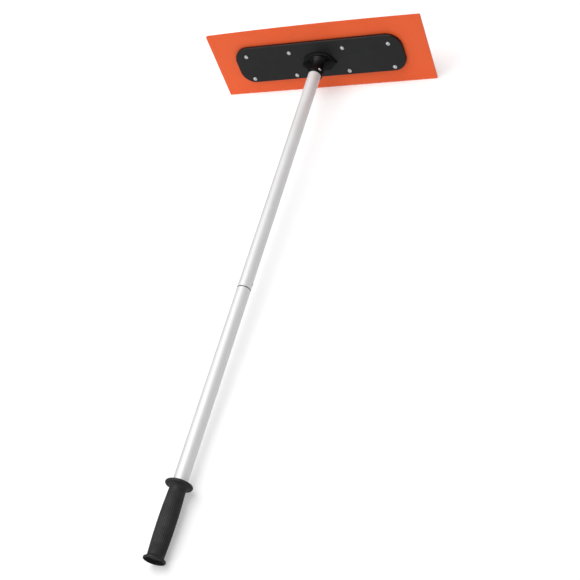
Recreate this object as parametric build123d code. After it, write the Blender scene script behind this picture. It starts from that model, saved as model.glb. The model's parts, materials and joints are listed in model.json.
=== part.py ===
from build123d import *
from math import asin, atan2, cos, degrees, radians, sin, sqrt
import os

# Roof snow rake: a flat plastic scraper blade, a moulded head plate bolted to its back, a pole
# socket clamped under that plate, and a two-section aluminium pole with a rubber grip. The pole
# sections are held by spring-loaded snap buttons and come apart for storage.
#
# Rake frame, used while building: the origin is the middle of the blade's back face, +X runs
# along the blade, +Y goes through the blade away from the user, +Z up the blade.
# Pole frame: its origin is where the pole's axis meets the blade's back face, its Z runs down
# the pole towards the grip, its X is the rake's X, and its Y is the pole's upper side.
# The finished rake is laid down as it rests on a floor: on the blade's lower edge and the grip.

# blade
BLADE_WIDTH = 508
BLADE_SIDE_HEIGHT = 164.5
BLADE_CROWN = 3
BLADE_THICKNESS = 5
BLADE_CORNER_RADIUS = 1.5

# head plate
PLATE_WIDTH = 400
PLATE_HEIGHT = 93.5
PLATE_SHIFT = -1.2
PLATE_THICKNESS = 7
PLATE_TOP_RADIUS = 35
PLATE_BOTTOM_RADIUS = 32
PLATE_EDGE_ROUNDING = 1.6

# fasteners, M5
SCREW_COLUMNS = (-170.5, -64, 64, 170.5)
SCREW_ROW_MIDDLE = -7
SCREW_ROW_OFFSET = 30.5
SCREW_RADIUS = 2.5
SCREW_LENGTH = 20
SCREW_HEAD_RADIUS = 4.75
SCREW_HEAD_HEIGHT = 3.2
SCREW_HEAD_EDGE = 1
SCREW_TIP_CHAMFER = 0.5
RECESS_LENGTH = 5
RECESS_WIDTH = 1.1
RECESS_DEPTH = 1.7
HOLE_RADIUS = 2.75
CUTTER_LENGTH = 40
WASHER_RADIUS = 7.5
WASHER_BORE_RADIUS = 2.65
WASHER_THICKNESS = 1.2
NUT_ACROSS_FLATS = 8
NUT_HEIGHT = 5
NUT_HEX_HEIGHT = 3
NUT_CHAMFER = 0.5
NUT_COLLAR_TAPER = 0.6
NUT_BORE_RADIUS = 2.55
INSERT_RADIUS = 3.3
INSERT_HEIGHT = 1.4
INSERT_GAP = 0.1

# pole
POLE_TILT = 7.5
POLE_HEIGHT = -5.4
TUBE_RADIUS = 14
TUBE_WALL = 1.2
TUBE_BORE_RADIUS = TUBE_RADIUS - TUBE_WALL
UPPER_TUBE_START = 11
SEAM_DISTANCE = 626.5
SEAM_WIDTH = 2
LOWER_TUBE_END = 1178.5

# pole socket: a base behind the head plate and a raised boss that comes through it
SOCKET_BASE_WIDTH = 112
SOCKET_BASE_HEIGHT = 62
SOCKET_BASE_THICKNESS = 2.4
SOCKET_BASE_RADIUS = 8
BOSS_BOTTOM = -29
BOSS_BOTTOM_HALF_WIDTH = 24
BOSS_BOTTOM_RADIUS = 12
BOSS_SIDE = -12
BOSS_SIDE_HALF_WIDTH = 42
BOSS_SHOULDER = 9
BOSS_SHOULDER_HALF_WIDTH = 30
BOSS_SHOULDER_RADIUS = 9
BOSS_TOP = 18
BOSS_FACE = 12
BOSS_CHAMFER = 1.2
MOULDED_GAP = 0.3
BARREL_RADIUS = 16.2
COLLAR_RADIUS = 17
COLLAR_START = 35
COLLAR_CHAMFER = 0.9
SOCKET_BORE_RADIUS = 14.1
SOCKET_FLOOR = 10
SOCKET_MOUTH = 50
ROOT_RADIUS = 20.5
ROOT_START = 10
ROOT_END = 17
GUSSET_THICKNESS = 6
GUSSET_REACH = 36
GUSSET_TIP = 13.5
GUSSET_END = 38
OVERLAP = 0.5

# snap buttons
BUTTON_RADIUS = 3.75
BUTTON_DOME = 1.6
BUTTON_FLANGE_RADIUS = 4.9
BUTTON_FLANGE_THICKNESS = 0.8
BUTTON_GAP = 0.15
BUTTON_PROUD = 1.4
SOCKET_BUTTON_DISTANCE = 41
SOCKET_BUTTON_ANGLE = 58
JOINT_BUTTON_DISTANCE = 612
JOINT_BUTTON_ANGLE = 108
STRIP_WIDTH = 7
STRIP_THICKNESS = 0.8
SPRING_LENGTH = 34
SPRING_GAP = 0.1
SPRING_PAD_BACK = 6
SPRING_PAD_FRONT = 7
SPRING_NOSE = 6
SPRING_NOSE_RISE = 6.6
SPRING_TAIL = 4
SPRING_BEND_RADIUS = 2

# coupler between the pole sections
SPIGOT_GAP = 0.1
SPIGOT_LENGTH = 62
COUPLER_TAIL_LENGTH = 48
COUPLER_BORE_RADIUS = 10.2
LEAD_IN = 1.5
RIVET_DISTANCE = 648
RIVET_RADIUS = 2.4
RIVET_HOLE_RADIUS = 2.45
RIVET_HEAD_RADIUS = 4.3
RIVET_HEAD_HEIGHT = 1.4
RIVET_HEAD_EDGE = 0.4
RIVET_TAIL_RADIUS = 3.3
RIVET_TAIL_HEIGHT = 2
RIVET_TAIL_CHAMFER = 0.6
RIVET_GAP = 0.05

# grip
GRIP_START = 1041.5
GRIP_END = 1186
GRIP_BORE_RADIUS = 14.05
FLANGE_RADIUS = 25.5
FLANGE_THICKNESS = 9
GRIP_NECK_RADIUS = 15.3
PALM_RADIUS = 16.9
FLANGE_RIM_SHARE = 0.36
FLANGE_BEAD_TURN = 130
FLANGE_DISH = 2
FLANGE_LIP = 3
NECK_FILLET = 6
NECK_HOLLOW = 1.9
END_RADIUS = 20.3
END_THICKNESS = 4
END_ROUNDING = 1.3
END_FILLET = 7
END_HOLLOW = 1.2
END_RECESS_RADIUS = 17.8
END_RECESS_DEPTH = 3.6
PLUG_HEAD_RADIUS = 15
PLUG_HEAD_THICKNESS = 2.6
PLUG_POCKET_GAP = 0.2
PLUG_STEM_RADIUS = 12.7
PLUG_BORE_RADIUS = 10.8
PLUG_LENGTH = 24
PLUG_CHAMFER = 0.6
PLUG_LEAD_IN = 1.5
PLUG_END_WALL = 1

UPPER_TUBE_END = SEAM_DISTANCE - SEAM_WIDTH / 2
LOWER_TUBE_START = SEAM_DISTANCE + SEAM_WIDTH / 2
PLATE_FACE = Plane.XZ
POLE = Plane(origin=(0, 0, POLE_HEIGHT), x_dir=(1, 0, 0),
             z_dir=(0, -cos(radians(POLE_TILT)), -sin(radians(POLE_TILT))))
SCREW_SPOTS = [(x, SCREW_ROW_MIDDLE + side * SCREW_ROW_OFFSET) for side in (1, -1) for x in SCREW_COLUMNS]


def out_of_face(sketch, start, end):
    """Extrude a sketch drawn on the blade's back, from one height above it to another."""
    return extrude(PLATE_FACE.offset(start) * sketch, amount=end - start)


def at_screws(piece):
    """Copies of a piece, built along +Z out of the blade's back, at every screw."""
    return [PLATE_FACE * Pos(x, z, 0) * piece for x, z in SCREW_SPOTS]


def rod(radius, start, end):
    """A round bar along Z."""
    return Pos(0, 0, start) * extrude(Circle(radius), amount=end - start)


def ring(outer, inner, start, end):
    """A round tube along Z."""
    return rod(outer, start, end) - rod(inner, start, end)


def turned_from(edges):
    """A solid turned about Z from a closed outline of edges in (radius, height)."""
    return revolve(Plane.XZ * make_face(edges), Axis.Z)


def turned(points):
    """A solid turned about Z from (radius, height) points in order."""
    return turned_from([Polyline(*points, close=True)])


def radial(distance, angle):
    """A frame on the pole whose Z points out of the tube, at an angle from its upper side."""
    outward = (sin(radians(angle)), cos(radians(angle)), 0)
    return Plane(origin=(0, 0, distance), x_dir=(0, 0, 1), z_dir=outward)


def radial_hole(distance, angle, radius):
    """A cutter from the pole's axis outwards, for a hole in one side of a tube."""
    outwards = (Align.CENTER, Align.CENTER, Align.MIN)
    return radial(distance, angle) * Cylinder(radius, CUTTER_LENGTH, align=outwards)


def cap_arc(radius, low, high):
    """Half the outline of a spherical cap on the Z axis, from its rim up to its top."""
    sphere = (radius ** 2 + (high - low) ** 2) / (2 * (high - low))
    half_way = asin(radius / sphere) / 2
    middle = (sphere * sin(half_way), high - sphere + sphere * cos(half_way))
    return ThreePointArc((radius, low), middle, (0, high))


def chord_depth(radius, half_width):
    """How far from a bore's axis a flat strip of this half width can lie."""
    return sqrt(radius ** 2 - half_width ** 2)


def scraper_blade():
    half, side = BLADE_WIDTH / 2, BLADE_SIDE_HEIGHT / 2
    lower = Polyline((-half, side), (-half, -side), (half, -side), (half, side))
    crown = ThreePointArc((half, side), (0, side + BLADE_CROWN), (-half, side))
    outline = make_face([lower, crown])
    outline = fillet(outline.vertices(), BLADE_CORNER_RADIUS)
    blade = out_of_face(outline, -BLADE_THICKNESS, 0)
    return blade - at_screws(Cylinder(HOLE_RADIUS, CUTTER_LENGTH))


def rounded(width, height, top_radius, bottom_radius):
    """A rectangle with one radius on its upper corners and another on its lower ones."""
    outline = Rectangle(width, height)
    outline = fillet(outline.vertices().sort_by(Axis.Y)[2:], top_radius)
    return fillet(outline.vertices().sort_by(Axis.Y)[:2], bottom_radius)


def boss_outline(gap=0):
    """An outline with an arched top, a pointed tip on each side and a narrow bottom."""
    sides = Polyline((-BOSS_SHOULDER_HALF_WIDTH, BOSS_SHOULDER), (-BOSS_SIDE_HALF_WIDTH, BOSS_SIDE),
                     (-BOSS_BOTTOM_HALF_WIDTH, BOSS_BOTTOM), (BOSS_BOTTOM_HALF_WIDTH, BOSS_BOTTOM),
                     (BOSS_SIDE_HALF_WIDTH, BOSS_SIDE), (BOSS_SHOULDER_HALF_WIDTH, BOSS_SHOULDER))
    arch = ThreePointArc((BOSS_SHOULDER_HALF_WIDTH, BOSS_SHOULDER), (0, BOSS_TOP),
                         (-BOSS_SHOULDER_HALF_WIDTH, BOSS_SHOULDER))
    outline = make_face([sides, arch])
    outline = fillet(outline.vertices().sort_by(Axis.Y)[:2], BOSS_BOTTOM_RADIUS)
    outline = fillet(outline.vertices().sort_by(Axis.Y)[-2:], BOSS_SHOULDER_RADIUS)
    return offset(outline, gap) if gap else outline


def base_outline(gap=0):
    width, height = SOCKET_BASE_WIDTH + 2 * gap, SOCKET_BASE_HEIGHT + 2 * gap
    return Pos(0, POLE_HEIGHT) * RectangleRounded(width, height, SOCKET_BASE_RADIUS + gap)


def head_plate():
    """A moulded plate with a rounded rim, an opening for the boss, and a pocket for the socket's base."""
    outline = rounded(PLATE_WIDTH, PLATE_HEIGHT, PLATE_TOP_RADIUS, PLATE_BOTTOM_RADIUS)
    plate = out_of_face(Pos(0, PLATE_SHIFT) * outline, 0, PLATE_THICKNESS)
    plate = fillet(plate.faces().sort_by(Axis.Y)[0].edges(), PLATE_EDGE_ROUNDING)
    plate -= out_of_face(boss_outline(MOULDED_GAP), 0, PLATE_THICKNESS)
    plate -= out_of_face(base_outline(MOULDED_GAP), 0, SOCKET_BASE_THICKNESS + MOULDED_GAP / 2)
    return plate - at_screws(Cylinder(HOLE_RADIUS, CUTTER_LENGTH))


def gusset(side):
    """A triangular web beside the barrel, on the pole's centre plane; side is 1 or -1."""
    profile = Polyline((0, SOCKET_BASE_THICKNESS / 2), (side * GUSSET_REACH, SOCKET_BASE_THICKNESS / 2),
                       (side * GUSSET_REACH, GUSSET_TIP), (side * (BARREL_RADIUS - OVERLAP), GUSSET_END),
                       (0, GUSSET_END), close=True)
    return extrude(Plane.XZ * make_face(profile), amount=GUSSET_THICKNESS / 2, both=True)


def pole_socket():
    """A base under the head plate, a raised boss, and a barrel with a collar and two gussets."""
    base = out_of_face(base_outline(), 0, SOCKET_BASE_THICKNESS)
    boss = out_of_face(boss_outline(), 0, BOSS_FACE)
    boss = chamfer(boss.faces().sort_by(Axis.Y)[0].edges(), BOSS_CHAMFER)
    low = SOCKET_BASE_THICKNESS / 2
    barrel = turned([(0, low), (ROOT_RADIUS, low), (ROOT_RADIUS, ROOT_START), (BARREL_RADIUS, ROOT_END),
                     (BARREL_RADIUS, COLLAR_START - COLLAR_CHAMFER), (COLLAR_RADIUS, COLLAR_START),
                     (COLLAR_RADIUS, SOCKET_MOUTH - COLLAR_CHAMFER),
                     (COLLAR_RADIUS - COLLAR_CHAMFER, SOCKET_MOUTH), (0, SOCKET_MOUTH)])
    standing = POLE.location * (barrel + gusset(1) + gusset(-1))
    above_blade = out_of_face(Rectangle(SOCKET_BASE_WIDTH, 2 * SOCKET_BASE_HEIGHT), 0, 2 * SOCKET_MOUTH)
    bore = rod(SOCKET_BORE_RADIUS, SOCKET_FLOOR, SOCKET_MOUTH + 1)
    button_hole = radial_hole(SOCKET_BUTTON_DISTANCE, SOCKET_BUTTON_ANGLE, BUTTON_RADIUS + 2 * BUTTON_GAP)
    body = base + boss + (standing & above_blade)
    return body - POLE.location * bore - POLE.location * button_hole


def plate_screws():
    """Pan-head machine screws with a cross recess."""
    low, high = PLATE_THICKNESS, PLATE_THICKNESS + SCREW_HEAD_HEIGHT
    tip = low - SCREW_LENGTH
    shank = Polyline((0, high), (0, tip), (SCREW_RADIUS - SCREW_TIP_CHAMFER, tip),
                     (SCREW_RADIUS, tip + SCREW_TIP_CHAMFER), (SCREW_RADIUS, low), (SCREW_HEAD_RADIUS, low))
    edge = Line((SCREW_HEAD_RADIUS, low), (SCREW_HEAD_RADIUS, low + SCREW_HEAD_EDGE))
    screw = turned_from([shank, edge, cap_arc(SCREW_HEAD_RADIUS, low + SCREW_HEAD_EDGE, high)])
    slot = Box(RECESS_LENGTH, RECESS_WIDTH, 2 * RECESS_DEPTH)
    for turn in (45, 135):
        screw -= Pos(0, 0, high) * Rot(0, 0, turn) * slot
    return at_screws(screw)


def plate_washers():
    outside = -BLADE_THICKNESS
    return at_screws(ring(WASHER_RADIUS, WASHER_BORE_RADIUS, outside - WASHER_THICKNESS, outside))


def lock_nuts():
    """Hexagon nuts with a round collar that holds a nylon insert."""
    seat = -BLADE_THICKNESS - WASHER_THICKNESS
    end = seat - NUT_HEIGHT
    hexagon = RegularPolygon(NUT_ACROSS_FLATS / 2, 6, major_radius=False)
    corner = NUT_ACROSS_FLATS / sqrt(3)
    flat = NUT_ACROSS_FLATS / 2
    body = Pos(0, 0, end) * extrude(hexagon, amount=NUT_HEIGHT)
    body &= turned([(0, seat), (flat, seat), (corner, seat - NUT_CHAMFER), (corner, seat - NUT_HEX_HEIGHT),
                    (flat, seat - NUT_HEX_HEIGHT - NUT_CHAMFER), (flat - NUT_COLLAR_TAPER, end), (0, end)])
    body -= rod(NUT_BORE_RADIUS, end, seat)
    body -= rod(INSERT_RADIUS, end, end + INSERT_HEIGHT)
    return at_screws(body)


def nut_inserts():
    end = -BLADE_THICKNESS - WASHER_THICKNESS - NUT_HEIGHT
    return at_screws(ring(INSERT_RADIUS, SCREW_RADIUS, end + INSERT_GAP, end + INSERT_HEIGHT))


def upper_tube():
    tube = ring(TUBE_RADIUS, TUBE_BORE_RADIUS, UPPER_TUBE_START, UPPER_TUBE_END)
    tube -= radial_hole(SOCKET_BUTTON_DISTANCE, SOCKET_BUTTON_ANGLE, BUTTON_RADIUS + BUTTON_GAP)
    return tube - radial_hole(JOINT_BUTTON_DISTANCE, JOINT_BUTTON_ANGLE, BUTTON_RADIUS + BUTTON_GAP)


def lower_tube():
    tube = ring(TUBE_RADIUS, TUBE_BORE_RADIUS, LOWER_TUBE_START, LOWER_TUBE_END)
    return tube - radial_hole(RIVET_DISTANCE, 180, RIVET_HOLE_RADIUS)


def joint_coupler():
    """A hollow plug fixed in the lower section, with a thin collar that shows between the tubes."""
    fit = TUBE_BORE_RADIUS - SPIGOT_GAP
    top, bottom = UPPER_TUBE_END - SPIGOT_LENGTH, LOWER_TUBE_START + COUPLER_TAIL_LENGTH
    body = turned([(COUPLER_BORE_RADIUS, top), (fit - LEAD_IN, top), (fit, top + 2 * LEAD_IN),
                   (fit, UPPER_TUBE_END), (TUBE_RADIUS, UPPER_TUBE_END), (TUBE_RADIUS, LOWER_TUBE_START),
                   (fit, LOWER_TUBE_START), (fit, bottom - LEAD_IN), (fit - LEAD_IN, bottom),
                   (COUPLER_BORE_RADIUS, bottom)])
    body -= radial_hole(JOINT_BUTTON_DISTANCE, JOINT_BUTTON_ANGLE, BUTTON_RADIUS + BUTTON_GAP)
    return body - radial_hole(RIVET_DISTANCE, 180, RIVET_HOLE_RADIUS)


def coupler_rivet():
    """A blind rivet through the lower tube and the coupler's wall, on the pole's underside."""
    tail = chord_depth(COUPLER_BORE_RADIUS, RIVET_TAIL_RADIUS) - RIVET_GAP
    low, top = tail - RIVET_TAIL_HEIGHT, TUBE_RADIUS + RIVET_HEAD_HEIGHT
    body = turned([(0, low), (RIVET_TAIL_RADIUS - RIVET_TAIL_CHAMFER, low),
                   (RIVET_TAIL_RADIUS, low + RIVET_TAIL_CHAMFER), (RIVET_TAIL_RADIUS, tail),
                   (RIVET_RADIUS, tail), (RIVET_RADIUS, TUBE_RADIUS), (RIVET_HEAD_RADIUS, TUBE_RADIUS),
                   (RIVET_HEAD_RADIUS, TUBE_RADIUS + RIVET_HEAD_EDGE), (RIVET_RADIUS, top), (0, top)])
    return radial(RIVET_DISTANCE, 180) * body


def snap_button(distance, angle, bore, outside):
    """A domed pin with a flange that stops under the tube wall that carries it."""
    seat = chord_depth(bore, BUTTON_FLANGE_RADIUS) - SPRING_GAP
    low, top = seat - BUTTON_FLANGE_THICKNESS, outside + BUTTON_PROUD
    side = Polyline((0, top), (0, low), (BUTTON_FLANGE_RADIUS, low), (BUTTON_FLANGE_RADIUS, seat),
                    (BUTTON_RADIUS, seat), (BUTTON_RADIUS, top - BUTTON_DOME))
    dome = cap_arc(BUTTON_RADIUS, top - BUTTON_DOME, top)
    return radial(distance, angle) * turned_from([side, dome])


def snap_spring(distance, angle, bore):
    """A bent steel strip that lies in the bore: one leg under the button, the other opposite."""
    half = STRIP_THICKNESS / 2
    under = chord_depth(bore, BUTTON_FLANGE_RADIUS) - SPRING_GAP - BUTTON_FLANGE_THICKNESS - half
    opposite = SPRING_GAP + half - chord_depth(bore, STRIP_WIDTH / 2)
    path = FilletPolyline((-SPRING_PAD_BACK, under), (SPRING_PAD_FRONT, under),
                          (SPRING_LENGTH, opposite + SPRING_NOSE_RISE),
                          (SPRING_LENGTH + SPRING_NOSE, opposite), (-SPRING_TAIL, opposite),
                          radius=SPRING_BEND_RADIUS)
    strip = extrude(Plane.XZ * trace(path, line_width=STRIP_THICKNESS), amount=STRIP_WIDTH / 2, both=True)
    return radial(distance, angle) * strip


def corner_arc(middle, radius, start, end):
    """A round corner in a turned outline; the angles are measured from the outward direction."""
    angles = (radians(start), radians((start + end) / 2), radians(end))
    return ThreePointArc(*[(middle[0] + radius * cos(a), middle[1] + radius * sin(a)) for a in angles])


def bowed(start, end, bow):
    """An arc between two points that bows by this much to the left of the way it runs."""
    run, rise = end[0] - start[0], end[1] - start[1]
    length = sqrt(run ** 2 + rise ** 2)
    middle = ((start[0] + end[0]) / 2 - bow * rise / length, (start[1] + end[1]) / 2 + bow * run / length)
    return ThreePointArc(start, middle, end)


def grip():
    """A moulded grip: a beaded flange, a body that swells in the palm, and a flared, recessed end."""
    rim = FLANGE_THICKNESS * FLANGE_RIM_SHARE
    rim_base = FLANGE_RADIUS - rim
    neck = (GRIP_NECK_RADIUS, GRIP_START + FLANGE_THICKNESS + NECK_FILLET)
    tail = (GRIP_NECK_RADIUS, GRIP_END - END_THICKNESS - END_FILLET)
    disc = END_RADIUS - END_ROUNDING
    disc_low, disc_high = GRIP_END - END_THICKNESS + END_ROUNDING, GRIP_END - END_ROUNDING
    bead_end = radians(FLANGE_BEAD_TURN)
    bead = (rim_base + rim * cos(bead_end), GRIP_START + rim + rim * sin(bead_end))
    face = GRIP_START + FLANGE_DISH
    pocket = PLUG_HEAD_RADIUS + PLUG_POCKET_GAP
    recess = GRIP_END - END_RECESS_DEPTH
    outline = [
        Polyline((GRIP_BORE_RADIUS, face), (GRIP_BORE_RADIUS + FLANGE_LIP, face), (rim_base, GRIP_START)),
        corner_arc((rim_base, GRIP_START + rim), rim, -90, FLANGE_BEAD_TURN),
        bowed(bead, neck, NECK_HOLLOW),
        ThreePointArc(neck, (PALM_RADIUS, (neck[1] + tail[1]) / 2), tail),
        bowed(tail, (disc, disc_low - END_ROUNDING), END_HOLLOW),
        corner_arc((disc, disc_low), END_ROUNDING, -90, 0),
        Line((END_RADIUS, disc_low), (END_RADIUS, disc_high)),
        corner_arc((disc, disc_high), END_ROUNDING, 0, 90),
        Polyline((disc, GRIP_END), (END_RECESS_RADIUS, GRIP_END), (END_RECESS_RADIUS, recess),
                 (pocket, recess), (pocket, LOWER_TUBE_END), (GRIP_BORE_RADIUS, LOWER_TUBE_END),
                 (GRIP_BORE_RADIUS, face)),
    ]
    return turned_from(outline)


def end_plug():
    """The cap pressed into the tube's lower end, sunk in the grip's end face."""
    top = LOWER_TUBE_END + PLUG_HEAD_THICKNESS
    tip = LOWER_TUBE_END - PLUG_LENGTH
    inside = LOWER_TUBE_END - PLUG_END_WALL
    return turned([(0, top), (PLUG_HEAD_RADIUS - PLUG_CHAMFER, top), (PLUG_HEAD_RADIUS, top - PLUG_CHAMFER),
                   (PLUG_HEAD_RADIUS, LOWER_TUBE_END), (PLUG_STEM_RADIUS, LOWER_TUBE_END),
                   (PLUG_STEM_RADIUS, tip + PLUG_LEAD_IN), (PLUG_STEM_RADIUS - PLUG_CHAMFER, tip),
                   (PLUG_BORE_RADIUS, tip), (PLUG_BORE_RADIUS, inside), (0, inside)])


def resting_tilt():
    """How far the blade leans back when its lower edge and the grip's end lie on the floor."""
    tilt = radians(POLE_TILT)
    widest = GRIP_END - END_ROUNDING
    drop = widest * sin(tilt) + END_RADIUS * cos(tilt) - POLE_HEIGHT - BLADE_SIDE_HEIGHT / 2
    run = widest * cos(tilt) - END_RADIUS * sin(tilt) + BLADE_THICKNESS
    return degrees(atan2(drop, run))


at_socket = (SOCKET_BUTTON_DISTANCE, SOCKET_BUTTON_ANGLE, TUBE_BORE_RADIUS)
at_joint = (JOINT_BUTTON_DISTANCE, JOINT_BUTTON_ANGLE, COUPLER_BORE_RADIUS)
on_pole = {
    "upper_tube": upper_tube(),
    "socket_button": snap_button(*at_socket, COLLAR_RADIUS),
    "socket_button_spring": snap_spring(*at_socket),
    "joint_coupler": joint_coupler(),
    "coupler_rivet": coupler_rivet(),
    "joint_button": snap_button(*at_joint, TUBE_RADIUS),
    "joint_button_spring": snap_spring(*at_joint),
    "lower_tube": lower_tube(),
    "grip": grip(),
    "end_plug": end_plug(),
}
nodes = {
    "scraper_blade": scraper_blade(),
    "head_plate": head_plate(),
    "pole_socket": pole_socket(),
    "plate_screws": plate_screws(),
    "plate_washers": plate_washers(),
    "lock_nuts": lock_nuts(),
    "nut_inserts": nut_inserts(),
}
nodes.update({name: POLE.location * piece for name, piece in on_pole.items()})

# lay the rake down and put the origin under the middle of its bounding box
laid = {name: [Rot(X=-resting_tilt()) * solid for solid in ShapeList(
    piece if isinstance(piece, list) else [piece]).solids()] for name, piece in nodes.items()}
box = Compound([solid for solids in laid.values() for solid in solids]).bounding_box()
home = Pos(-(box.min.X + box.max.X) / 2, -(box.min.Y + box.max.Y) / 2, -box.min.Z)

os.makedirs("parts", exist_ok=True)
for name, solids in laid.items():
    placed = [home * solid for solid in solids]
    export_step(placed[0] if len(placed) == 1 else Compound(placed), f"parts/{name}.step")
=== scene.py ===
"""Looks of the roof snow rake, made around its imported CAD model. Lengths are in metres."""

import json
from math import atan2, cos, hypot, pi, radians, sin

import bpy
from mathutils import Matrix, Vector


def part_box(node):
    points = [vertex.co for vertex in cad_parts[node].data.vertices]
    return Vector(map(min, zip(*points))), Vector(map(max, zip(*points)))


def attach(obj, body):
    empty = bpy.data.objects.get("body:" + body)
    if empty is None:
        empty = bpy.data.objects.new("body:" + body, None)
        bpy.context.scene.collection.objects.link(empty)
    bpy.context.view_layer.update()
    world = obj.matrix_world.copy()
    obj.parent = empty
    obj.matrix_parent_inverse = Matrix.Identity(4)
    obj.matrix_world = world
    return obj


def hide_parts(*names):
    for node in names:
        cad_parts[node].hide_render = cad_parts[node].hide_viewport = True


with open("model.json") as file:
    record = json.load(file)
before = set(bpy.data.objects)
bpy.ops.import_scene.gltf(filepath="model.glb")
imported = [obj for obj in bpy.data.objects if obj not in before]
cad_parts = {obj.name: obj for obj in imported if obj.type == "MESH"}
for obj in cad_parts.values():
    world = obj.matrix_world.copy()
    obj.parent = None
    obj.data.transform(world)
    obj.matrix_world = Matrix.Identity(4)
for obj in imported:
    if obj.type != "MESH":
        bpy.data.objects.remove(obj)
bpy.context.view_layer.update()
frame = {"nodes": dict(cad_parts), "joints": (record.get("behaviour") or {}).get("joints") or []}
nodes = frame["nodes"]
MM = 0.001

# camera
CAMERA_PLACE = Vector((1.0341, -1.2531, 1.6012))
CAMERA_TARGET = Vector((0.07112, -0.00458, 0.0))
CAMERA_ROLL = radians(-28.66)
CAMERA_LENS = 71.3

# studio
FLOOR_SIZE = 40
FLOOR_COLOUR = (0.88, 0.88, 0.88)
FLOOR_ROUGHNESS = 0.8
FLOOR_GLOW = 0.3
WORLD_BELOW = (0.60, 0.605, 0.61)
# heading, cosines of its edge and its full strength, colour
WORLD_LAYERS = (
    ((0, 0, 1), -0.1, 0.1, (0.34, 0.34, 0.345)),
    ((1, 0, 0.1), 0.1, 0.9, (0.42, 0.42, 0.42)),
    ((-0.3, 1, 0.4), 0.3, 0.9, (0.03, 0.03, 0.03)),
)
# name, place, target, size, power
SOFTBOXES = (
    ("overhead", (-0.6, 0.2, 2.6), (0, 0, 0), (2.2, 3.2), 66),
    ("front_left", (-1.8, -2.6, 0.9), (0, 0.4, 0.1), (0.9, 0.7), 13),
)

# rounded edges
WELD_DISTANCE = 0.002 * MM
EDGE_ANGLE = 35
EDGE_SEGMENTS = 3
BLADE_ROUNDING = 0.8 * MM
SOCKET_ROUNDING = 0.5 * MM

# materials: parts of a noise's range, from low contrast to patchy
BROAD = (0.3, 0.7)
EVEN = (0.35, 0.65)
MOTTLED = (0.35, 0.7)
PATCHY = (0.4, 0.7)
SPARSE = (0.45, 0.75)
RUBBED = (0.45, 0.65)
STREAKS = (0.66, 0.74)
EDGE_SAMPLES = 6
PEBBLE_SMOOTHNESS = 0.7
FLAT_MATCH = 0.995
EDGE_MATCH = 0.8
# the colour sockets of a Mix node
MIX_FIRST, MIX_SECOND, MIX_RESULT = 6, 7, 2

# grip, beside the sizes read from its CAD node
FLANGE_RADIUS = 25.5 * MM
FLANGE_RIM = 3.24 * MM
FLANGE_BEAD_TURN = 130
FLANGE_DISH = 2 * MM
FLANGE_LIP = 3 * MM
NECK_START = 15 * MM
NECK_RADIUS = 15.3 * MM
NECK_HOLLOW = 1.9 * MM
PALM_RADIUS = 16.9 * MM
END_RADIUS = 20.3 * MM
END_THICKNESS = 4 * MM
END_ROUNDING = 1.3 * MM
END_FILLET = 7 * MM
END_HOLLOW = 1.2 * MM
END_RECESS_RADIUS = 17.8 * MM
END_RECESS_DEPTH = 3.6 * MM
BORE_RADIUS = 14.05 * MM
PLUG_POCKET_RADIUS = 15.2 * MM
PLUG_POCKET_DEPTH = 7.5 * MM
SMALL_ROUNDING = 0.4 * MM
FLUTES = 30
FLUTE_DEPTH = 0.45 * MM
FLUTE_FADE = 9 * MM
GRIP_SEGMENTS = 360
FLANGE_STEPS = 20
PALM_STEPS = 70
BORE_TOLERANCE = 0.1 * MM
SHARP_ANGLE = 40

POLE_AXIS = next(Vector(j["axis"]) for j in frame["joints"] if j["name"] == "joint_slide").normalized()


# ---------------------------------------------------------------- materials


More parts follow.
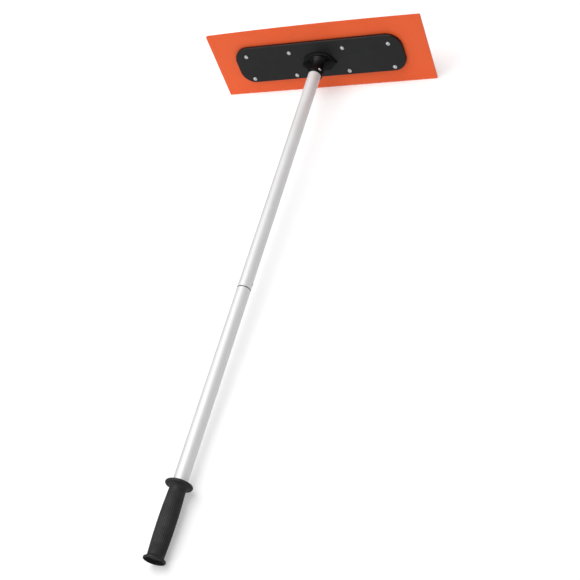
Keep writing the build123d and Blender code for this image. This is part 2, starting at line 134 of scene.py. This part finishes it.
class Finish:
    """A Principled material with procedural detail laid out in the object's own metres."""

    def __init__(self, name, roughness, metallic=0.0, specular=0.5):
        self.material = bpy.data.materials.new(name)
        self.material.use_nodes = True
        self.tree = self.material.node_tree
        self.shader = self.tree.nodes["Principled BSDF"]
        self.shader.inputs["Roughness"].default_value = roughness
        self.shader.inputs["Metallic"].default_value = metallic
        self.shader.inputs["Specular IOR Level"].default_value = specular
        self.place = self.add("ShaderNodeTexCoord").outputs["Object"]
        self.normal = None

    def add(self, kind, **settings):
        """A new node, with its settings."""
        node = self.tree.nodes.new(kind)
        for key, value in settings.items():
            setattr(node, key, value)
        return node

    def feed(self, socket, value):
        """Links a socket to another, or sets it to a constant."""
        if isinstance(value, bpy.types.NodeSocket):
            self.tree.links.new(value, socket)
        elif isinstance(value, tuple) and len(value) == 3 and socket.type == "RGBA":
            socket.default_value = (*value, 1)
        else:
            socket.default_value = value

    def stretched(self, scale, turn=0.0):
        """Object coordinates turned about X, then scaled along each axis."""
        turned = self.add("ShaderNodeMapping")
        self.feed(turned.inputs["Vector"], self.place)
        turned.inputs["Rotation"].default_value = (turn, 0, 0)
        scaled = self.add("ShaderNodeMapping")
        self.feed(scaled.inputs["Vector"], turned.outputs["Vector"])
        scaled.inputs["Scale"].default_value = scale
        return scaled.outputs["Vector"]

    def noise(self, scale, detail=2.0, where=None):
        """Smooth noise from 0 to 1; scale is in features to the metre."""
        noise = self.add("ShaderNodeTexNoise")
        self.feed(noise.inputs["Vector"], where or self.place)
        noise.inputs["Scale"].default_value = scale
        noise.inputs["Detail"].default_value = detail
        return noise.outputs["Fac"]

    def pebbles(self, scale):
        """Rounded cells, as in a spark-eroded mould."""
        cells = self.add("ShaderNodeTexVoronoi", feature="SMOOTH_F1")
        self.feed(cells.inputs["Vector"], self.place)
        cells.inputs["Scale"].default_value = scale
        cells.inputs["Smoothness"].default_value = PEBBLE_SMOOTHNESS
        return cells.outputs["Distance"]

    def span(self, value, low, high, to_low=0.0, to_high=1.0):
        """Value moved smoothly from one range to another, and held at its ends."""
        span = self.add("ShaderNodeMapRange", interpolation_type="SMOOTHSTEP")
        for name, number in (("Value", value), ("From Min", low), ("From Max", high),
                             ("To Min", to_low), ("To Max", to_high)):
            self.feed(span.inputs[name], number)
        return span.outputs["Result"]

    def times(self, first, second):
        product = self.add("ShaderNodeMath", operation="MULTIPLY")
        self.feed(product.inputs[0], first)
        self.feed(product.inputs[1], second)
        return product.outputs[0]

    def height(self):
        """Object coordinate Z."""
        parts = self.add("ShaderNodeSeparateXYZ")
        self.feed(parts.inputs[0], self.place)
        return parts.outputs["Z"]

    def edges(self, reach):
        """1 on outer and inner edges and 0 on flat faces, within reach of each edge."""
        rounded = self.add("ShaderNodeBevel", samples=EDGE_SAMPLES)
        rounded.inputs["Radius"].default_value = reach
        flat = self.add("ShaderNodeNewGeometry")
        match = self.add("ShaderNodeVectorMath", operation="DOT_PRODUCT")
        self.feed(match.inputs[0], rounded.outputs["Normal"])
        self.feed(match.inputs[1], flat.outputs["Normal"])
        return self.span(match.outputs["Value"], FLAT_MATCH, EDGE_MATCH)

    def mix(self, factor, first, second):
        """A colour between two colours."""
        mix = self.add("ShaderNodeMix", data_type="RGBA")
        self.feed(mix.inputs["Factor"], factor)
        self.feed(mix.inputs[MIX_FIRST], first)
        self.feed(mix.inputs[MIX_SECOND], second)
        return mix.outputs[MIX_RESULT]

    def colour(self, value):
        self.feed(self.shader.inputs["Base Color"], value)

    def gloss(self, value):
        self.feed(self.shader.inputs["Roughness"], value)

    def relief(self, height, depth):
        """Adds fine relief of that depth to the surface."""
        bump = self.add("ShaderNodeBump")
        bump.inputs["Distance"].default_value = depth
        self.feed(bump.inputs["Height"], height)
        if self.normal:
            self.feed(bump.inputs["Normal"], self.normal)
        self.normal = bump.outputs["Normal"]
        self.feed(self.shader.inputs["Normal"], self.normal)


def orange_sheet():
    """Satin polyethylene sheet, with faint scrape marks down the blade and a scuffed lower edge."""
    deep, bright = (0.845, 0.112, 0.024), (0.875, 0.122, 0.029)
    speckled, scraped, scuffed = (0.865, 0.154, 0.056), (0.86, 0.20, 0.09), (0.80, 0.42, 0.30)
    speckle_share, scrape_share, scuff_share = 0.25, 0.22, 0.55
    scrape_grain = (420, 420, 9)
    scuff_top, scuff_full = 5 * MM, 0.5 * MM
    f = Finish("orange_sheet", roughness=0.42, specular=0.22)
    broad = f.mix(f.span(f.noise(5), *EVEN), deep, bright)
    speckle = f.span(f.noise(1400, 3), *SPARSE, 0.0, speckle_share)
    grained = f.mix(speckle, broad, speckled)
    scrapes = f.span(f.noise(1, 3, f.stretched(scrape_grain)), *STREAKS)
    lower = f.span(f.height(), scuff_top, scuff_full)
    scuffs = f.times(lower, f.span(f.noise(260, 4), *RUBBED))
    marked = f.mix(f.times(scrapes, scrape_share), grained, scraped)
    f.colour(f.mix(f.times(scuffs, scuff_share), marked, scuffed))
    f.gloss(f.span(f.noise(30, 4), *BROAD, 0.36, 0.48))
    f.relief(f.noise(900, 4), 0.05 * MM)
    f.relief(scrapes, 0.02 * MM)
    return f.material


def moulded_plastic(name, dark, light, roughness, specular, grain, grain_depth):
    """Moulded black plastic with a fine spark-eroded grain, paler where edges rub."""
    edge_reach, least_wear, most_wear = 0.6 * MM, 0.15, 0.6
    smoother, rougher = 0.06, 0.08
    sink_depth = 0.12 * MM
    rubbed_gain, rubbed_lift = 2, 0.012
    f = Finish(name, roughness=roughness, specular=specular)
    body = f.mix(f.span(f.noise(9, 3), *MOTTLED), dark, light)
    worn = f.times(f.edges(edge_reach), f.span(f.noise(180, 3), *PATCHY, least_wear, most_wear))
    rubbed = tuple(channel * rubbed_gain + rubbed_lift for channel in light)
    f.colour(f.mix(worn, body, rubbed))
    f.gloss(f.span(f.noise(40, 4), *BROAD, roughness - smoother, roughness + rougher))
    f.relief(f.pebbles(grain), grain_depth)
    f.relief(f.noise(25, 2), sink_depth)
    return f.material


def anodised_tube():
    """Drawn aluminium tube, clear anodised: fine lines along the tube and faint handling marks."""
    dull, bright = (0.86, 0.86, 0.865), (0.91, 0.91, 0.915)
    line_grain = (1500, 4, 1500)
    f = Finish("anodised_tube", roughness=0.5, metallic=0.4)
    tilt = atan2(POLE_AXIS.z, POLE_AXIS.y) - pi
    drawn = f.noise(1, 4, f.stretched(line_grain, -tilt))
    cloudy = f.noise(14, 3)
    f.colour(f.mix(f.span(drawn, *BROAD), dull, bright))
    f.gloss(f.span(cloudy, *BROAD, 0.5, 0.58))
    f.relief(drawn, 0.012 * MM)
    return f.material


def zinc_steel():
    """Bright zinc plating, slightly mottled, and brightest on rubbed edges."""
    dull, bright, rubbed = (0.78, 0.79, 0.80), (0.88, 0.89, 0.90), (0.94, 0.94, 0.94)
    edge_reach = 0.25 * MM
    f = Finish("zinc_steel", roughness=0.25, metallic=1.0)
    mottled = f.mix(f.span(f.noise(500, 3), *EVEN), dull, bright)
    f.colour(f.mix(f.edges(edge_reach), mottled, rubbed))
    f.gloss(f.span(f.noise(900, 3), *BROAD, 0.2, 0.34))
    f.relief(f.noise(1800, 3), 0.01 * MM)
    return f.material


def spring_steel():
    """Plain rolled strip with lines along its length."""
    dark, light = (0.36, 0.36, 0.37), (0.50, 0.50, 0.51)
    line_grain = (1200, 20, 1200)
    f = Finish("spring_steel", roughness=0.35, metallic=1.0)
    rolled = f.noise(1, 3, f.stretched(line_grain))
    f.colour(f.mix(f.span(rolled, *BROAD), dark, light))
    f.gloss(f.span(f.noise(300), *BROAD, 0.28, 0.4))
    f.relief(rolled, 0.01 * MM)
    return f.material


def natural_nylon():
    """Cloudy nylon of the lock nuts' inserts."""
    blue_grey, milky = (0.62, 0.66, 0.70), (0.80, 0.82, 0.84)
    f = Finish("natural_nylon", roughness=0.4)
    f.colour(f.mix(f.span(f.noise(700, 3), *BROAD), blue_grey, milky))
    f.shader.inputs["Subsurface Weight"].default_value = 0.2
    f.shader.inputs["Subsurface Scale"].default_value = 1 * MM
    f.relief(f.noise(1500, 2), 0.02 * MM)
    return f.material


def moulded_rubber():
    """Soft black rubber: a matt skin, dusty where its edges catch."""
    dark, light, dusty = (0.0125, 0.0125, 0.0125), (0.021, 0.021, 0.0205), (0.075, 0.073, 0.070)
    edge_reach, least_dust, most_dust = 0.5 * MM, 0.1, 0.5
    f = Finish("moulded_rubber", roughness=0.6, specular=0.45)
    body = f.mix(f.span(f.noise(60, 4), *MOTTLED), dark, light)
    dust = f.times(f.edges(edge_reach), f.span(f.noise(400, 3), *PATCHY, least_dust, most_dust))
    f.colour(f.mix(dust, body, dusty))
    f.gloss(f.span(f.noise(35, 3), *BROAD, 0.5, 0.68))
    f.relief(f.noise(1600, 3), 0.06 * MM)
    return f.material


orange = orange_sheet()
plate_black = moulded_plastic("plate_black", dark=(0.0045, 0.0046, 0.0046), light=(0.007, 0.0072, 0.0072),
                              roughness=0.42, specular=0.42, grain=1100, grain_depth=0.05 * MM)
# A darker black than the plate's. It is partly the socket's own moulding and partly painted shade that
# darkens the socket's hub and the grip's recessed end.
darker_black_painted_shade = moulded_plastic("darker_black_painted_shade", dark=(0.003, 0.003, 0.0034), light=(0.0045, 0.0045, 0.005),
                               roughness=0.36, specular=0.2, grain=1500, grain_depth=0.04 * MM)
coupler_grey = moulded_plastic("coupler_grey", dark=(0.03, 0.03, 0.031), light=(0.045, 0.045, 0.046),
                               roughness=0.45, specular=0.4, grain=1500, grain_depth=0.03 * MM)
aluminium = anodised_tube()
steel = zinc_steel()
strip = spring_steel()
nylon = natural_nylon()
rubber = moulded_rubber()

NODE_FINISH = {
    "scraper_blade": orange,
    "head_plate": plate_black,
    "pole_socket": darker_black_painted_shade,
    "plate_screws": steel,
    "plate_washers": steel,
    "lock_nuts": steel,
    "nut_inserts": nylon,
    "upper_tube": aluminium,
    "lower_tube": aluminium,
    "joint_coupler": coupler_grey,
    "coupler_rivet": steel,
    "socket_button": steel,
    "joint_button": steel,
    "socket_button_spring": strip,
    "joint_button_spring": strip,
    "grip": rubber,
    # the end plug takes the darker black as painted shade for the grip's recessed end
    "end_plug": darker_black_painted_shade,
}
for name, finish in NODE_FINISH.items():
    for material_slot in nodes[name].material_slots:
        material_slot.material = finish


# ---------------------------------------------------------------- rounded edges of CAD nodes


def round_edges(name, width):
    """Rounds a CAD node's sharp edges with modifiers, which leave its mesh as it is."""
    weld = nodes[name].modifiers.new("weld", "WELD")
    weld.merge_threshold = WELD_DISTANCE
    bevel = nodes[name].modifiers.new("edges", "BEVEL")
    bevel.width = width
    bevel.segments = EDGE_SEGMENTS
    bevel.limit_method = "ANGLE"
    bevel.angle_limit = radians(EDGE_ANGLE)
    bevel.harden_normals = True
    bevel.use_clamp_overlap = True


round_edges("scraper_blade", BLADE_ROUNDING)
round_edges("pole_socket", SOCKET_ROUNDING)


# ---------------------------------------------------------------- grip


def corner(middle, radius, start, end, steps=8):
    """Points round a corner; the angles are measured from the outward direction."""
    angles = [radians(start + (end - start) * step / steps) for step in range(steps + 1)]
    return [(middle[0] + radius * cos(angle), middle[1] + radius * sin(angle)) for angle in angles]


def bowed(first, last, bow, steps=12):
    """Points on an arc that bows by this much to the left of the way it runs."""
    run, rise = last[0] - first[0], last[1] - first[1]
    chord = hypot(run, rise)
    radius = (chord ** 2 / 4 + bow ** 2) / (2 * bow)
    across = (-rise / chord, run / chord)
    middle = [(a + b) / 2 + (bow - radius) * side for a, b, side in zip(first, last, across)]
    start, end = (atan2(point[1] - middle[1], point[0] - middle[0]) for point in (first, last))
    turn = (end - start + pi) % (2 * pi) - pi
    return [(middle[0] + abs(radius) * cos(start + turn * step / steps),
             middle[1] + abs(radius) * sin(start + turn * step / steps)) for step in range(steps + 1)]


def along_pole(node):
    """A CAD node's lowest and highest distance along the pole's axis."""
    reach = [vertex.co.dot(POLE_AXIS) for vertex in node.data.vertices]
    return min(reach), max(reach)


def pole_frame(distance):
    """A frame on the pole's axis: Z along the pole towards the grip, Y on its upper side."""
    low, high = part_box("lower_tube")
    on_axis = (low + high) / 2
    origin = on_axis + POLE_AXIS * (distance - on_axis.dot(POLE_AXIS))
    across = Vector((1, 0, 0))
    upper = POLE_AXIS.cross(across)
    return Matrix.Translation(origin) @ Matrix((across, upper, POLE_AXIS)).transposed().to_4x4()


def grip_profile(length):
    """(radius, distance) points of the grip's outline, from the dished flange round to the bore."""
    rim_base = FLANGE_RADIUS - FLANGE_RIM
    neck, tail = (NECK_RADIUS, NECK_START), (NECK_RADIUS, length - END_THICKNESS - END_FILLET)
    disc = END_RADIUS - END_ROUNDING
    disc_low, disc_high = length - END_THICKNESS + END_ROUNDING, length - END_ROUNDING
    points = [(BORE_RADIUS, FLANGE_DISH + SMALL_ROUNDING), (BORE_RADIUS + SMALL_ROUNDING, FLANGE_DISH)]
    points += [(BORE_RADIUS + FLANGE_LIP, FLANGE_DISH)]
    points += corner((rim_base, FLANGE_RIM), FLANGE_RIM, -90, FLANGE_BEAD_TURN, FLANGE_STEPS)
    points += bowed(points[-1], neck, NECK_HOLLOW)[1:]
    points += bowed(neck, tail, NECK_RADIUS - PALM_RADIUS, PALM_STEPS)[1:]
    points += bowed(tail, (disc, disc_low - END_ROUNDING), END_HOLLOW)[1:]
    points += corner((disc, disc_low), END_ROUNDING, -90, 0)[1:]
    points += corner((disc, disc_high), END_ROUNDING, 0, 90)
    recess = length - END_RECESS_DEPTH
    points += [(END_RECESS_RADIUS + SMALL_ROUNDING, length), (END_RECESS_RADIUS, length - SMALL_ROUNDING)]
    points += [(END_RECESS_RADIUS, recess), (PLUG_POCKET_RADIUS, recess)]
    points += [(PLUG_POCKET_RADIUS, length - PLUG_POCKET_DEPTH), (BORE_RADIUS, length - PLUG_POCKET_DEPTH)]
    return points


def flute(angle, distance, length):
    """How far the surface is cut back there by the flutes, which fade out at both ends of the palm."""
    from_ends = min(distance - NECK_START, length - END_THICKNESS - END_FILLET - distance)
    fade = max(0.0, min(1.0, from_ends / FLUTE_FADE))
    groove = max(0.0, cos(angle * FLUTES)) ** 2
    return FLUTE_DEPTH * groove * fade * fade * (3 - 2 * fade)


def fluted_grip():
    """The grip as one closed mesh: beaded flange, fluted palm and flared, recessed end."""
    start, end = along_pole(nodes["grip"])
    length = end - start
    place = pole_frame(start)
    profile = grip_profile(length)
    vertices = []
    for radius, distance in profile:
        for step in range(GRIP_SEGMENTS):
            angle = 2 * pi * step / GRIP_SEGMENTS
            r = radius
            if radius > BORE_RADIUS + BORE_TOLERANCE:
                r -= flute(angle, distance, length)
            vertices.append(place @ Vector((r * cos(angle), r * sin(angle), distance)))
    rings = len(profile)
    faces = []
    for ring in range(rings):
        a, b = ring * GRIP_SEGMENTS, (ring + 1) % rings * GRIP_SEGMENTS
        for step in range(GRIP_SEGMENTS):
            after = (step + 1) % GRIP_SEGMENTS
            faces.append((a + step, a + after, b + after, b + step))
    mesh = bpy.data.meshes.new("grip_skin")
    mesh.from_pydata(vertices, [], faces)
    mesh.validate()
    for polygon in mesh.polygons:
        polygon.use_smooth = True
    mesh.set_sharp_from_angle(angle=radians(SHARP_ANGLE))
    skin = bpy.data.objects.new("grip_skin", mesh)
    bpy.context.scene.collection.objects.link(skin)
    mesh.materials.append(rubber)
    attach(skin, "lower_pole")
    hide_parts("grip")


fluted_grip()


# ---------------------------------------------------------------- studio


def floor():
    """A large plain pale floor."""
    bpy.ops.mesh.primitive_plane_add(size=FLOOR_SIZE)
    plane = bpy.context.object
    plane.name = "studio_floor"
    pale = bpy.data.materials.new("pale_floor")
    pale.use_nodes = True
    shader = pale.node_tree.nodes["Principled BSDF"]
    shader.inputs["Base Color"].default_value = (*FLOOR_COLOUR, 1)
    shader.inputs["Roughness"].default_value = FLOOR_ROUGHNESS
    shader.inputs["Emission Color"].default_value = (1, 1, 1, 1)
    shader.inputs["Emission Strength"].default_value = FLOOR_GLOW
    plane.data.materials.append(pale)
    plane.visible_glossy = False


def softbox(name, place, target, size, power):
    """A rectangular area light aimed at a point."""
    light = bpy.data.lights.new(name, "AREA")
    light.shape = "RECTANGLE"
    light.size, light.size_y = size
    light.energy = power
    lamp = bpy.data.objects.new(name, light)
    lamp.location = place
    lamp.rotation_euler = (Vector(target) - Vector(place)).to_track_quat("-Z", "Y").to_euler()
    bpy.context.scene.collection.objects.link(lamp)


def surroundings():
    """A dim room above a pale floor, a little paler to the right and darkest low behind the object."""
    world = bpy.data.worlds.new("studio")
    world.use_nodes = True
    tree = world.node_tree
    direction = tree.nodes.new("ShaderNodeTexCoord").outputs["Generated"]

    def towards(heading, start, full):
        along = tree.nodes.new("ShaderNodeVectorMath")
        along.operation = "DOT_PRODUCT"
        tree.links.new(direction, along.inputs[0])
        along.inputs[1].default_value = Vector(heading).normalized()
        share = tree.nodes.new("ShaderNodeMapRange")
        share.interpolation_type = "SMOOTHSTEP"
        tree.links.new(along.outputs["Value"], share.inputs["Value"])
        share.inputs["From Min"].default_value = start
        share.inputs["From Max"].default_value = full
        return share.outputs["Result"]

    colour = (*WORLD_BELOW, 1)
    for heading, start, full, tone in WORLD_LAYERS:
        mix = tree.nodes.new("ShaderNodeMix")
        mix.data_type = "RGBA"
        tree.links.new(towards(heading, start, full), mix.inputs["Factor"])
        if isinstance(colour, tuple):
            mix.inputs[MIX_FIRST].default_value = colour
        else:
            tree.links.new(colour, mix.inputs[MIX_FIRST])
        mix.inputs[MIX_SECOND].default_value = (*tone, 1)
        colour = mix.outputs[MIX_RESULT]
    tree.links.new(colour, tree.nodes["Background"].inputs["Color"])
    bpy.context.scene.world = world


def studio():
    """A dim room, a large softbox overhead and a small, weaker one from the front left."""
    surroundings()
    bpy.context.scene.view_settings.view_transform = "Standard"
    for box in SOFTBOXES:
        softbox(*box)


def camera():
    """The camera, aimed at the floor near the pole's middle and rolled so that the pole leans."""
    lens = bpy.data.cameras.new("camera")
    lens.lens = CAMERA_LENS
    view = bpy.data.objects.new("camera", lens)
    aim = (CAMERA_TARGET - CAMERA_PLACE).to_track_quat("-Z", "Y").to_matrix().to_4x4()
    view.matrix_world = Matrix.Translation(CAMERA_PLACE) @ aim @ Matrix.Rotation(CAMERA_ROLL, 4, "Z")
    bpy.context.scene.collection.objects.link(view)
    bpy.context.scene.camera = view


floor()
studio()
camera()
